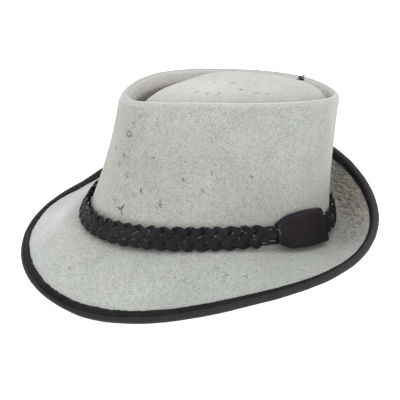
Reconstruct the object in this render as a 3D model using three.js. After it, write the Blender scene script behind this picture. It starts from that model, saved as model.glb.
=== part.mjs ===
import * as THREE from 'three';

// Suede trilby with a bound brim and a plaited leather band, in millimetres.
// The front of the hat faces -Y, the wearer's left is +X and up is +Z.
// Angles run round the hat from the front (0) over the left side (90) to the back (180).

// Leather
const suedeThickness = 1.7;
const bindingThickness = 1;
const bindingWidth = 9;
const keeperThickness = 1.3;
const gap = 0.3;

// Ovals seen from above: egg narrows the front when it is negative
const baseOval = { halfWidth: 82, halfLength: 106, centreY: 0, squareness: 2.1, egg: -0.03 };
const rimOval = { halfWidth: 53.1, halfLength: 89.9, centreY: 13, squareness: 1.95, egg: -0.009 };
const edgeOval = { halfWidth: 144.2, halfLength: 145, centreY: -13.3, squareness: 2.12, egg: -0.142 };

// Brim at eight stations round the hat, from the front over the left side to the back and over the
// right side again. Heights are above one level plane, and the slopes, in degrees, are the brim's
// where it leaves the crown and at its edge.
const brimStations = [
  { name: 'front', root: -8.4, edge: -35.1, rootSlope: -10, edgeSlope: -40 },
  { name: 'left front', root: -1.6, edge: -32.4, rootSlope: -12, edgeSlope: -42 },
  { name: 'left', root: 6.3, edge: 1, rootSlope: 1, edgeSlope: -5 },
  { name: 'left back', root: -9.2, edge: 17.6, rootSlope: 6, edgeSlope: 41 },
  { name: 'back', root: -13.8, edge: 24.3, rootSlope: 6, edgeSlope: 81 },
  { name: 'right back', root: -9.2, edge: 20.2, rootSlope: 6, edgeSlope: 46 },
  { name: 'right', root: 3.8, edge: -1, rootSlope: -3, edgeSlope: 26 },
  { name: 'right front', root: -5.4, edge: -35, rootSlope: -15, edgeSlope: -20 },
];

// Band at the same stations: its lower edge above the root of the brim, and its width
const bandStations = [
  { name: 'front', low: 0, width: 16.6 },
  { name: 'left front', low: 1, width: 18 },
  { name: 'left', low: 0.2, width: 17.5 },
  { name: 'left back', low: 6, width: 17.4 },
  { name: 'back', low: 3.4, width: 17.4 },
  { name: 'right back', low: 6, width: 17.4 },
  { name: 'right', low: -0.3, width: 17.4 },
  { name: 'right front', low: -0.4, width: 17.4 },
];

// Crown at the same stations: rim height, inward bow of the wall as a share of its radius, radius of
// the rounded ridge, depth and inset of the moat below and inside the rim, and fullness of the dome
const crownStations = [
  { name: 'front', rim: 101.7, bow: 0.036, ridge: 5.4, moatDepth: 20, moatInset: 9.6, fullness: 4.9 },
  { name: 'left front', rim: 109, bow: 0.046, ridge: 3.8, moatDepth: 20, moatInset: 11.5, fullness: 4.1 },
  { name: 'left', rim: 112.2, bow: 0.03, ridge: 2.8, moatDepth: 18, moatInset: 13.5, fullness: 5.8 },
  { name: 'left back', rim: 107.2, bow: 0.033, ridge: 3.4, moatDepth: 14, moatInset: 6.9, fullness: 8.7 },
  { name: 'back', rim: 101.3, bow: 0.019, ridge: 4.6, moatDepth: 12, moatInset: 8.1, fullness: 9 },
  { name: 'right back', rim: 102.9, bow: 0.035, ridge: 4.2, moatDepth: 14, moatInset: 13.8, fullness: 8 },
  { name: 'right', rim: 104, bow: 0.03, ridge: 4, moatDepth: 18, moatInset: 7.8, fullness: 7.2 },
  { name: 'right front', rim: 105.6, bow: 0.041, ridge: 4.6, moatDepth: 20, moatInset: 12.7, fullness: 4.2 },
];

// Crown
const innerRidgeRadius = 3;
const domeHeight = 108.2;
const domeBulge = 1.8;
const hemHeight = 3.2;

// Collar of the brim, turned up inside the crown
const collarHeight = 10;
const collarFoot = 3.6;
const rootRun = 1.6;
const sectionHandle = 0.36;

// Plaited band
const bandThickness = 4.6;
const bandSplay = 2.4;
const bandLobes = 58;
const stepsPerLobe = 4;
const lobeRelief = 0.7;
const scallop = 0.9;
const strapHeight = 9.6;
const strapThickness = 2.9;

// Keeper: distances along the band from its front end, with its edges above the band's lower edge
const keeperStart = 107.8;
const keeperSlant = 5;
const keeperClear = 0.5;
const keeperRows = [
  { along: 0, low: 1.5, high: 17.4 },
  { along: 6, low: -0.6, high: 20.6 },
  { along: 13, low: -2.3, high: 23 },
  { along: 21, low: -2.6, high: 24.4 },
  { along: 29, low: -2.8, high: 25.2 },
  { along: 37, low: -3.2, high: 25.4 },
  { along: 46, low: -3.4, high: 25.2 },
  { along: 55, low: -4.2, high: 24.6 },
];

// Rest: the hat leans back on the front of its brim and the root of the brim behind
const leanBack = 5.19;
const pressDepth = 1.3;

const stepsRound = 52;
const radians = Math.PI / 180;
const up = new THREE.Vector3(0, 0, 1);

// Smooth closed curve through a column of stations: a trigonometric series with one value per row
function column(rows, name) {
  const count = rows.length;
  const terms = [];
  for (let k = 0; k <= count / 2; k += 1) {
    const scale = (k === 0 || k === count / 2 ? 1 : 2) / count;
    let cosine = 0;
    let sine = 0;
    rows.forEach((row, j) => {
      const angle = (2 * Math.PI * j * k) / count;
      cosine += scale * row[name] * Math.cos(angle);
      sine += scale * row[name] * Math.sin(angle);
    });
    terms.push({ k, cosine, sine });
  }
  return angle => terms.reduce((total, { k, cosine, sine }) => {
    return total + cosine * Math.cos(k * angle) + sine * Math.sin(k * angle);
  }, 0);
}

const rootHeight = column(brimStations, 'root');
const bandLow = column(bandStations, 'low');
const bandWidth = column(bandStations, 'width');
const edgeHeight = column(brimStations, 'edge');
const rootSlope = column(brimStations, 'rootSlope');
const edgeSlope = column(brimStations, 'edgeSlope');
const rimHeight = column(crownStations, 'rim');
const wallBow = column(crownStations, 'bow');
const ridgeRadius = column(crownStations, 'ridge');
const moatDepth = column(crownStations, 'moatDepth');
const moatInset = column(crownStations, 'moatInset');
const domeFullness = column(crownStations, 'fullness');

function ovalPoint(oval, angle, height) {
  const c = Math.cos(angle);
  const s = Math.sin(angle);
  const n = oval.squareness;
  const reach = (Math.abs(s) ** n + Math.abs(c) ** n) ** (-1 / n);
  const x = oval.halfWidth * s * reach * (1 + oval.egg * c * reach);
  return new THREE.Vector3(x, oval.centreY - oval.halfLength * c * reach, height);
}

// Crown wall from the root (t = 0) to the rim ridge (t = 1)
function wallPoint(angle, t) {
  const low = ovalPoint(baseOval, angle, rootHeight(angle));
  const high = ovalPoint(rimOval, angle, rimHeight(angle));
  const point = low.lerp(high, t);
  const middleY = rimOval.centreY * t;
  const draw = 1 - wallBow(angle) * 4 * t * (1 - t);
  point.x *= draw;
  point.y = middleY + (point.y - middleY) * draw;
  return point;
}

function wallHeightToT(angle, height) {
  return height / (rimHeight(angle) - rootHeight(angle));
}

// Top of the crown, inset from the rim oval towards its centre
function topPoint(angle, inset, height) {
  const rim = ovalPoint(rimOval, angle, height);
  const radius = Math.hypot(rim.x, rim.y - rimOval.centreY);
  const share = 1 - inset / radius;
  rim.x *= share;
  rim.y = rimOval.centreY + (rim.y - rimOval.centreY) * share;
  return rim;
}

// Dome inside the moat: v is 1 at the bottom of the moat and 0 at the middle
function domePoint(angle, v) {
  const foot = topPoint(angle, moatInset(angle), rimHeight(angle) - moatDepth(angle));
  const share = v ** domeFullness(angle);
  const crest = domeHeight + domeBulge * (1 - v * v);
  const x = foot.x * v;
  const y = rimOval.centreY + (foot.y - rimOval.centreY) * v;
  return new THREE.Vector3(x, y, foot.z * share + crest * (1 - share));
}

// Crown section from the hem up the wall, over the ridge, through the moat and up to the dome
const crownSteps = [];
[0, 0.08, 0.18, 0.4, 0.7, 1].forEach(share => crownSteps.push(angle => {
  const hem = wallHeightToT(angle, hemHeight);
  const shoulder = 1 - wallHeightToT(angle, ridgeRadius(angle));
  return wallPoint(angle, hem + (shoulder - hem) * share);
}));
[32, 62, 90].forEach(turn => crownSteps.push(angle => {
  const radius = ridgeRadius(angle);
  const height = rimHeight(angle) - radius * (1 - Math.sin(turn * radians));
  return topPoint(angle, radius * (1 - Math.cos(turn * radians)), height);
}));
[35, 70].forEach(turn => crownSteps.push(angle => {
  const inset = ridgeRadius(angle) + innerRidgeRadius * Math.sin(turn * radians);
  return topPoint(angle, inset, rimHeight(angle) - innerRidgeRadius * (1 - Math.cos(turn * radians)));
}));
crownSteps.push(angle => topPoint(angle, moatInset(angle) - 1.4, rimHeight(angle) - moatDepth(angle) * 0.75));
[1, 0.94, 0.85, 0.7, 0.45].forEach(v => crownSteps.push(angle => domePoint(angle, v)));

// Outward side of a surface given as place(angle, step)
function normalAt(place, angle, step, delta) {
  const across = place(angle, step + delta).sub(place(angle, step - delta));
  const along = place(angle + 0.01, step).sub(place(angle - 0.01, step));
  return along.cross(across).normalize();
}

// Flat brim section at an angle: distance out from the base oval and height above the root
function brimSection(angle) {
  const base = ovalPoint(baseOval, angle, 0);
  const edge = ovalPoint(edgeOval, angle, 0);
  const out = edge.clone().sub(base).normalize();
  const span = edge.distanceTo(base);
  const rise = edgeHeight(angle) - rootHeight(angle);
  const low = -suedeThickness / 2;
  const wallTop = wallPoint(angle, wallHeightToT(angle, collarHeight));
  const wallFoot = wallPoint(angle, 0);
  const upright = (wallTop.z - wallFoot.z) / wallTop.distanceTo(wallFoot);
  const along = ovalPoint(baseOval, angle + 0.01, 0).sub(ovalPoint(baseOval, angle - 0.01, 0)).normalize();
  const square = out.clone().cross(along).length();
  const clear = (suedeThickness * 1.5 + gap * 1.8) / (upright * square);
  const inset = height => {
    const wall = wallPoint(angle, wallHeightToT(angle, height));
    wall.z = 0;
    return clear + base.clone().sub(wall).dot(out);
  };
  const slopeIn = rootSlope(angle) * radians;
  const slopeOut = edgeSlope(angle) * radians;
  const start = new THREE.Vector2(rootRun, low + rootRun * Math.tan(slopeIn));
  const end = new THREE.Vector2(span, rise);
  const handle = sectionHandle * start.distanceTo(end);
  const lead = new THREE.Vector2(Math.cos(slopeIn), Math.sin(slopeIn)).multiplyScalar(handle);
  const trail = new THREE.Vector2(Math.cos(slopeOut), Math.sin(slopeOut)).multiplyScalar(handle);
  const sweep = new THREE.CubicBezierCurve(start, start.clone().add(lead), end.clone().sub(trail), end);
  const foot = new THREE.Vector2(-inset(collarFoot), collarFoot);
  const fillet = new THREE.QuadraticBezierCurve(foot, new THREE.Vector2(-inset(0), low), start);
  const place = (distance, height) => {
    return base.clone().addScaledVector(out, distance).setZ(rootHeight(angle) + height);
  };
  return { place, sweep, fillet, inset, length: sweep.getLength() };
}

// Middle of the brim's leather. s runs from -2 at the top of the collar to -1 at its foot,
// to 0 where the brim leaves the crown and to 1 at the fold of the binding round its edge.
function brimMiddle(angle, s) {
  const section = brimSection(angle);
  if (s < -1) {
    const height = collarFoot + (collarHeight - collarFoot) * (-1 - s);
    return section.place(-section.inset(height), height);
  }
  const point = s < 0 ? section.fillet.getPoint(s + 1) : section.sweep.getPoint(Math.min(s, 1));
  return section.place(point.x, point.y);
}

// Upward side of the brim, from a small step kept inside one stretch of the section
function brimNormal(angle, s) {
  const step = 0.02;
  const inner = Math.max(s - step, -2);
  const outer = Math.min(s + step, 1);
  const across = brimMiddle(angle, outer).sub(brimMiddle(angle, inner));
  const along = brimMiddle(angle + 0.01, s).sub(brimMiddle(angle - 0.01, s));
  return across.cross(along).normalize();
}

// Rest place of a point of the hat: turned back, then raised so that the leather presses on the surface
const turn = new THREE.Matrix4().makeRotationX(-leanBack * radians);
const bindingReach = suedeThickness / 2 + gap + bindingThickness;

function underside(angle, s) {
  const middle = brimMiddle(angle, s);
  if (Math.cos(angle) > 0) {
    return middle.applyMatrix4(turn).z - bindingReach;
  }
  return middle.addScaledVector(brimNormal(angle, s), -suedeThickness / 2).applyMatrix4(turn).z;
}

function lowest(from, to) {
  let low = Infinity;
  for (let i = 0; i <= 90; i += 1) {
    for (let j = 0; j <= 24; j += 1) {
      const angle = (from + ((to - from) * i) / 90) * radians;
      low = Math.min(low, underside(angle, j / 24));
    }
  }
  return low;
}

const frontLow = lowest(0, 89);
const backLow = lowest(91, 180);
const restLift = -pressDepth - Math.min(frontLow, backLow);

function atRest(point) {
  const placed = point.clone().applyMatrix4(turn);
  placed.z += restLift;
  return placed;
}

// Rise of the leather where it would otherwise pass below the surface, fading out up to the collar
function pressLift(angle, s) {
  const fade = Math.max(0, 1 + Math.min(s, 0));
  return fade * Math.max(0, -(underside(angle, Math.max(s, 0)) + restLift));
}

function brimPoint(angle, s, offset, beyond = 0) {
  const point = brimMiddle(angle, s);
  const normal = brimNormal(angle, s);
  const edgeWards = brimMiddle(angle, s).sub(brimMiddle(angle, s - 0.03)).normalize();
  point.addScaledVector(normal, offset).addScaledVector(edgeWards, beyond);
  const placed = atRest(point);
  placed.z += pressLift(angle, s);
  return placed;
}

// Closed skins over rings of points
function skin(rings, poles) {
  const count = rings[0].length;
  const points = rings.flat();
  const faces = [];
  const spans = poles ? rings.length - 1 : rings.length;
  for (let i = 0; i < spans; i += 1) {
    const near = i * count;
    const far = ((i + 1) % rings.length) * count;
    for (let j = 0; j < count; j += 1) {
      const next = (j + 1) % count;
      faces.push(near + j, near + next, far + next);
      faces.push(near + j, far + next, far + j);
    }
  }
  if (poles) {
    const first = points.push(poles[0]) - 1;
    const last = points.push(poles[1]) - 1;
    const end = (rings.length - 1) * count;
    for (let j = 0; j < count; j += 1) {
      const next = (j + 1) % count;
      faces.push(first, next, j);
      faces.push(last, end + j, end + next);
    }
  }
  return faceOutward(points, faces);
}

function faceOutward(points, faces) {
  let volume = 0;
  for (let i = 0; i < faces.length; i += 3) {
    const [a, b, c] = [points[faces[i]], points[faces[i + 1]], points[faces[i + 2]]];
    volume += a.dot(b.clone().cross(c));
  }
  if (volume < 0) {
    faces.reverse();
  }
  const geometry = new THREE.BufferGeometry().setFromPoints(points);
  geometry.setIndex(faces);
  geometry.computeVertexNormals();
  return geometry;
}

function anglesRound(count) {
  return Array.from({ length: count }, (_, i) => (i * 2 * Math.PI) / count);
}

// Crown
function crownGeometry() {
  const angles = anglesRound(stepsRound);
  const outer = crownSteps.map(step => angles.map(angle => step(angle)));
  const top = new THREE.Vector3(0, rimOval.centreY, domePoint(0, 0).z);
  const inner = outer.map((ring, i) => ring.map((point, j) => {
    const below = outer[Math.max(i - 1, 0)][j];
    const above = i + 1 < outer.length ? outer[i + 1][j] : top;
    const next = ring[(j + 1) % ring.length];
    const previous = ring[(j + ring.length - 1) % ring.length];
    const rise = above.clone().sub(point).normalize();
    rise.add(point.clone().sub(below).normalize());
    const normal = next.clone().sub(previous).cross(rise).normalize();
    return point.clone().addScaledVector(normal, -suedeThickness);
  }));
  const rings = [...outer.slice().reverse(), ...inner].map(ring => ring.map(atRest));
  const underTop = top.clone().addScaledVector(up, -suedeThickness);
  return skin(rings, [atRest(top), atRest(underTop)]);
}

// Brim
const brimSteps = [-2, -1, -0.67, -0.33, 0, 0.12, 0.3, 0.5, 0.7];

// Where the binding begins on the brim
function bindingStart(angle) {
  return 1 - (bindingWidth - bindingReach) / brimSection(angle).length;
}

function brimGeometry() {
  const rings = anglesRound(stepsRound).map(angle => {
    const start = bindingStart(angle);
    const steps = [...brimSteps, start, (start + 1) / 2, 1];
    const upper = steps.map(s => brimPoint(angle, s, suedeThickness / 2));
    const lower = steps.map(s => brimPoint(angle, s, -suedeThickness / 2));
    return [...upper, ...lower.reverse()];
  });
  return skin(rings);
}

// Binding folded over the brim's edge
function bindingGeometry() {
  const inside = suedeThickness / 2 + gap;
  const rings = anglesRound(stepsRound).map(angle => {
    const start = bindingStart(angle);
    const middle = (start + 1) / 2;
    const fold = (radius, turns) => turns.map(turnBy => {
      const offset = radius * Math.sin(turnBy * radians);
      const beyond = radius * Math.cos(turnBy * radians);
      return brimPoint(angle, 1, offset, beyond);
    });
    return [
      brimPoint(angle, start, inside),
      brimPoint(angle, middle, inside),
      ...fold(inside * 1.1, [90, 45, -45, -90]),
      brimPoint(angle, middle, -inside),
      brimPoint(angle, start, -inside),
      brimPoint(angle, start, -bindingReach),
      brimPoint(angle, middle, -bindingReach),
      ...fold(bindingReach, [-90, -54, -18, 18, 54, 90]),
      brimPoint(angle, middle, bindingReach),
      brimPoint(angle, start, bindingReach),
    ];
  });
  return skin(rings);
}

// Place on the band: height above its lower edge and distance out from the crown's wall, with the
// lower edge splayed out over the root of the brim
function bandPoint(angle, height, out) {
  const t = wallHeightToT(angle, bandLow(angle) + height);
  const point = wallPoint(angle, t);
  const normal = normalAt(wallPoint, angle, t, 0.01);
  const splay = bandSplay * Math.max(0, 1 - height / bandWidth(angle));
  return atRest(point.addScaledVector(normal, out + splay));
}

// Angles at even distances along the root of the brim
const arcTable = anglesRound(720).map(angle => ({ angle, length: 0 }));
arcTable.push({ angle: 2 * Math.PI, length: 0 });
for (let i = 1; i < arcTable.length; i += 1) {
  const before = ovalPoint(baseOval, arcTable[i - 1].angle, rootHeight(arcTable[i - 1].angle));
  const after = ovalPoint(baseOval, arcTable[i].angle, rootHeight(arcTable[i].angle));
  arcTable[i].length = arcTable[i - 1].length + before.distanceTo(after);
}
const girth = arcTable[arcTable.length - 1].length;

function angleAtLength(length) {
  const after = arcTable.findIndex(row => row.length >= length);
  if (after < 1) {
    return after === 0 ? 0 : 2 * Math.PI;
  }
  const share = (length - arcTable[after - 1].length) / (arcTable[after].length - arcTable[after - 1].length);
  return arcTable[after - 1].angle + share * (arcTable[after].angle - arcTable[after - 1].angle);
}

function lengthAtAngle(angle) {
  const after = Math.max(1, arcTable.findIndex(row => row.angle >= angle));
  const share = (angle - arcTable[after - 1].angle) / (arcTable[after].angle - arcTable[after - 1].angle);
  return arcTable[after - 1].length + share * (arcTable[after].length - arcTable[after - 1].length);
}

const keeperFrom = lengthAtAngle(keeperStart * radians);
const keeperLength = keeperRows[keeperRows.length - 1].along;
const strapIn = keeperClear + keeperThickness + gap;

// Plaited band: lobes lean out to both edges, and the plait thins to a flat strap inside the keeper
function bandGeometry() {
  const count = bandLobes * stepsPerLobe;
  const rings = [];
  for (let i = 0; i < count; i += 1) {
    const length = (girth * i) / count;
    const angle = angleAtLength(length);
    const phase = (2 * Math.PI * i) / stepsPerLobe;
    const inside = Math.min(length - keeperFrom, keeperFrom + keeperLength - length);
    const thin = THREE.MathUtils.smoothstep(inside, -7.4, -3.8);
    const mix = (plait, strap) => plait + (strap - plait) * thin;
    const middle = bandWidth(angle) / 2;
    const topHalf = mix(middle - scallop + scallop * Math.cos(phase), strapHeight / 2);
    const lowHalf = mix(middle - scallop - scallop * Math.cos(phase), strapHeight / 2);
    const inner = mix(gap, strapIn);
    const face = (relief, plain) => mix(plain + lobeRelief * relief, strapIn + strapThickness);
    const edgeOut = mix(bandThickness * 0.45, strapIn + strapThickness / 2);
    rings.push([
      bandPoint(angle, middle - lowHalf * 0.85, inner),
      bandPoint(angle, middle - lowHalf, edgeOut),
      bandPoint(angle, middle - lowHalf * 0.6, face(-Math.cos(phase), bandThickness - lobeRelief)),
      bandPoint(angle, middle, face(Math.sin(2 * phase + Math.PI / 4), bandThickness - lobeRelief * 1.5)),
      bandPoint(angle, middle + topHalf * 0.6, face(Math.cos(phase), bandThickness - lobeRelief)),
      bandPoint(angle, middle + topHalf, edgeOut),
      bandPoint(angle, middle + topHalf * 0.85, inner),
    ]);
  }
  return skin(rings);
}

// Keeper: a flattened sleeve round the strap, cut at a slant behind
function keeperGeometry() {
  const back = keeperClear;
  const front = strapIn + strapThickness + gap * 2 + keeperThickness;
  const half = (front - back) / 2;
  const centre = (front + back) / 2;
  const outline = (row, inset) => {
    const high = row.high - inset;
    const low = row.low + inset;
    const depth = half - inset;
    const edge = 2.4;
    return [
      [low + edge * 0.4, centre - depth],
      [(low + high) / 2, centre - depth],
      [high - edge * 0.4, centre - depth],
      [high - edge * 0.1, centre - depth * 0.6],
      [high, centre],
      [high - edge * 0.3, centre + depth * 0.7],
      [high - edge * 1.6, centre + depth],
      [(low + high) / 2, centre + depth],
      [low + edge * 1.6, centre + depth],
      [low + edge * 0.3, centre + depth * 0.7],
      [low, centre],
      [low + edge * 0.1, centre - depth * 0.6],
    ].map(([height, out]) => {
      const slant = keeperSlant * Math.max(0, height / row.high) * (row.along / keeperLength);
      return bandPoint(angleAtLength(keeperFrom + row.along - slant), height, out);
    });
  };
  const outer = keeperRows.map(row => outline(row, 0));
  const inner = keeperRows.map(row => outline(row, keeperThickness));
  return skin([...outer, ...inner.reverse()]);
}

// Assembly, with the origin below the middle of the hat
const pieces = [
  { name: 'crown', geometry: crownGeometry(), color: 0xb7bbb2, roughness: 0.95 },
  { name: 'brim', geometry: brimGeometry(), color: 0xb4b7af, roughness: 0.95 },
  { name: 'brim_binding', geometry: bindingGeometry(), color: 0x2f2a2b, roughness: 0.6 },
  { name: 'hat_band', geometry: bandGeometry(), color: 0x29252b, roughness: 0.55 },
  { name: 'band_keeper', geometry: keeperGeometry(), color: 0x29252a, roughness: 0.6 },
];

const trilby = new THREE.Group();
pieces.forEach(({ name, geometry, color, roughness }) => {
  const material = new THREE.MeshStandardMaterial({ color, roughness, metalness: 0 });
  const mesh = new THREE.Mesh(geometry, material);
  mesh.name = name;
  trilby.add(mesh);
});

const box = new THREE.Box3().setFromObject(trilby);
const middle = box.getCenter(new THREE.Vector3());
trilby.children.forEach(mesh => mesh.geometry.translate(-middle.x, -middle.y, 0));

export default trilby;
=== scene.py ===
import math

import bpy
import numpy as np
from mathutils import Matrix, Vector


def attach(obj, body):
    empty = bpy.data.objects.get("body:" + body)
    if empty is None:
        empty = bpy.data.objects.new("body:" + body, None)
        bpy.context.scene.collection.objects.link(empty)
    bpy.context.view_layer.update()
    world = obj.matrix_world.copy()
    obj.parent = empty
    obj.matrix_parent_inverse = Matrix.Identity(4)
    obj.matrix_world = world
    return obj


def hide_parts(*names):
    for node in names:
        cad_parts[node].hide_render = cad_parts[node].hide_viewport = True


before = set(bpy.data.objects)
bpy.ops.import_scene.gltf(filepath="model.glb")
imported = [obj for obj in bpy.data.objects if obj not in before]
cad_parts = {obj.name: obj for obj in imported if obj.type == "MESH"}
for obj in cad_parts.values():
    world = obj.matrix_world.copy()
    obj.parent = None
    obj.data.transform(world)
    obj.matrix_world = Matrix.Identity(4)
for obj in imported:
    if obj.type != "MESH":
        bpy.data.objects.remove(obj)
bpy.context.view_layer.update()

print("trilby: frame loaded")

# Shape of the hat in millimetres, the same values as in the solids.
# Angles run round the hat from the front over the wearer's left side to the back.
hatShape = {
    "suedeThickness": 1.7,
    "bindingThickness": 1.0,
    "bindingWidth": 9.0,
    "gap": 0.3,
    "leanBack": 5.19,      # degrees
    "restLift": 23.7163,
    "shift": (0.0254, 13.7231),
    "innerRidgeRadius": 3.0,
    "domeHeight": 108.2,
    "domeBulge": 1.8,
    "hemHeight": 3.2,
    "collarHeight": 10.0,
    "collarFoot": 3.6,
    "rootRun": 1.6,
    "sectionHandle": 0.36,
    "bandSplay": 2.4,
    "floorGap": 0.05,
}
# from the crown's outer face to the middle of the collar inside it
collarRoom = 1.5 * hatShape["suedeThickness"] + 1.8 * hatShape["gap"]
# steps for slopes: round the hat in radians or up the wall as a share, and along the brim's section
slopeStep = 0.01
sectionStep = 0.02
baseOval = {"halfWidth": 82, "halfLength": 106, "centreY": 0, "squareness": 2.1, "egg": -0.03}
rimOval = {"halfWidth": 53.1, "halfLength": 89.9, "centreY": 13, "squareness": 1.95, "egg": -0.009}
edgeOval = {"halfWidth": 144.2, "halfLength": 145, "centreY": -13.3, "squareness": 2.12, "egg": -0.142}

# One value for each of: front, left front, left, left back, back, right back, right, right front
stations = {
    "root": [-8.4, -1.6, 6.3, -9.2, -13.8, -9.2, 3.8, -5.4],
    "edge": [-35.1, -32.4, 1, 17.6, 24.3, 20.2, -1, -35],
    "rootSlope": [-10, -12, 1, 6, 6, 6, -3, -15],
    "edgeSlope": [-40, -42, -5, 41, 81, 46, 26, -20],
    "bandLow": [0, 1, 0.2, 6, 3.4, 6, -0.3, -0.4],
    "bandWidth": [16.6, 18, 17.5, 17.4, 17.4, 17.4, 17.4, 17.4],
    "rim": [101.7, 109, 112.2, 107.2, 101.3, 102.9, 104, 105.6],
    "bow": [0.036, 0.046, 0.03, 0.033, 0.019, 0.035, 0.03, 0.041],
    "ridge": [5.4, 3.8, 2.8, 3.4, 4.6, 4.2, 4, 4.6],
    "moatDepth": [20, 20, 18, 14, 12, 14, 18, 20],
    "moatInset": [9.6, 11.5, 13.5, 6.9, 8.1, 13.8, 7.8, 12.7],
    "fullness": [4.9, 4.1, 5.8, 8.7, 9, 8, 7.2, 4.2],
}


def ringCurve(name):
    # smooth closed curve through the eight stations
    spectrum = np.fft.rfft(np.array(stations[name], float)) / 8

    def curve(a):
        total = np.full_like(a, spectrum[0].real)
        for k in range(1, 5):
            wave = spectrum[k].real * np.cos(k * a) - spectrum[k].imag * np.sin(k * a)
            total = total + (1 if k == 4 else 2) * wave
        return total

    return curve


along = {name: ringCurve(name) for name in stations}


def ovalPoint(oval, a):
    c, s, n = np.cos(a), np.sin(a), oval["squareness"]
    reach = (np.abs(s) ** n + np.abs(c) ** n) ** (-1 / n)
    x = oval["halfWidth"] * s * reach * (1 + oval["egg"] * c * reach)
    return np.stack([x, oval["centreY"] - oval["halfLength"] * c * reach], -1)


def point(flat, height):
    return np.concatenate([flat, np.broadcast_to(height, flat.shape[:-1])[..., None]], -1)


def unit(v):
    return v / np.maximum(np.linalg.norm(v, axis=-1, keepdims=True), 1e-9)


def wallPoint(a, t):
    low = point(ovalPoint(baseOval, a), along["root"](a))
    high = point(ovalPoint(rimOval, a), along["rim"](a))
    t = np.broadcast_to(t, a.shape)
    p = low + (high - low) * t[..., None]
    middleY = rimOval["centreY"] * t
    draw = 1 - along["bow"](a) * 4 * t * (1 - t)
    p[..., 0] *= draw
    p[..., 1] = middleY + (p[..., 1] - middleY) * draw
    return p


def wallShare(a, height):
    return height / (along["rim"](a) - along["root"](a))


def topPoint(a, inset, height):
    rim = ovalPoint(rimOval, a)
    rim[..., 1] -= rimOval["centreY"]
    radius = np.linalg.norm(rim, axis=-1)
    rim *= (1 - inset / radius)[..., None]
    rim[..., 1] += rimOval["centreY"]
    return point(rim, height)


def domePoint(a, v):
    foot = topPoint(a, along["moatInset"](a), along["rim"](a) - along["moatDepth"](a))
    share = v ** along["fullness"](a)
    crest = hatShape["domeHeight"] + hatShape["domeBulge"] * (1 - v * v)
    y = rimOval["centreY"] + (foot[..., 1] - rimOval["centreY"]) * v
    return np.stack([foot[..., 0] * v, y, foot[..., 2] * share + crest * (1 - share)], -1)


def placeNormal(place, a, t):
    across = place(a, t + slopeStep) - place(a, t - slopeStep)
    around = place(a + slopeStep, t) - place(a - slopeStep, t)
    return unit(np.cross(around, across))


def brimSection(a):
    base, edge = ovalPoint(baseOval, a), ovalPoint(edgeOval, a)
    out = unit(edge - base)
    span = np.linalg.norm(edge - base, axis=-1)
    rise = along["edge"](a) - along["root"](a)
    low = -hatShape["suedeThickness"] / 2
    wallTop = wallPoint(a, wallShare(a, hatShape["collarHeight"]))
    wallFoot = wallPoint(a, np.zeros_like(a))
    upright = (wallTop[..., 2] - wallFoot[..., 2]) / np.linalg.norm(wallTop - wallFoot, axis=-1)
    beside = unit(ovalPoint(baseOval, a + slopeStep) - ovalPoint(baseOval, a - slopeStep))
    square = np.abs(out[..., 0] * beside[..., 1] - out[..., 1] * beside[..., 0])
    clear = collarRoom / (upright * square)

    def inset(height):
        wall = wallPoint(a, wallShare(a, height))[..., :2]
        return clear + ((base - wall) * out).sum(-1)

    slopeIn, slopeOut = np.radians(along["rootSlope"](a)), np.radians(along["edgeSlope"](a))
    run = np.full_like(a, hatShape["rootRun"])
    start = np.stack([run, low + run * np.tan(slopeIn)], -1)
    end = np.stack([span, rise], -1)
    handle = (hatShape["sectionHandle"] * np.linalg.norm(end - start, axis=-1))[..., None]
    lead = start + handle * np.stack([np.cos(slopeIn), np.sin(slopeIn)], -1)
    trail = end - handle * np.stack([np.cos(slopeOut), np.sin(slopeOut)], -1)
    foot = np.stack([-inset(hatShape["collarFoot"]), np.full_like(a, hatShape["collarFoot"])], -1)
    corner = np.stack([-inset(0.0), np.full_like(a, low)], -1)
    curves = {"sweep": (start, lead, trail, end), "fillet": (foot, corner, start)}
    return {"a": a, "base": base, "out": out, "inset": inset, **curves}


def bezier(points, t):
    layers = list(points)
    while len(layers) > 1:
        layers = [p + (q - p) * t for p, q in zip(layers, layers[1:])]
    return layers[0]


def sectionPoint(section, s):
    # s is -2 at the collar's top, -1 at its foot, 0 where the brim leaves the crown and 1 at the edge
    s = np.broadcast_to(s, section["a"].shape)
    if s.min() >= 0:
        flat = bezier(section["sweep"], np.minimum(s, 1)[:, None])
    elif s.min() >= -1:
        flat = bezier(section["fillet"], s[:, None] + 1)
    else:
        height = hatShape["collarFoot"] + (hatShape["collarHeight"] - hatShape["collarFoot"]) * (-1 - s)
        flat = np.stack([-section["inset"](height), height], -1)
    place = section["base"] + section["out"] * flat[..., :1]
    return point(place, along["root"](section["a"]) + flat[..., 1])


lean = math.radians(-hatShape["leanBack"])
turn = np.array([[1, 0, 0], [0, math.cos(lean), -math.sin(lean)], [0, math.sin(lean), math.cos(lean)]])


def atRest(p):
    placed = p @ turn.T
    placed[..., :2] += hatShape["shift"]
    placed[..., 2] += hatShape["restLift"]
    return placed


bindingReach = hatShape["suedeThickness"] / 2 + hatShape["gap"] + hatShape["bindingThickness"]


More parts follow.
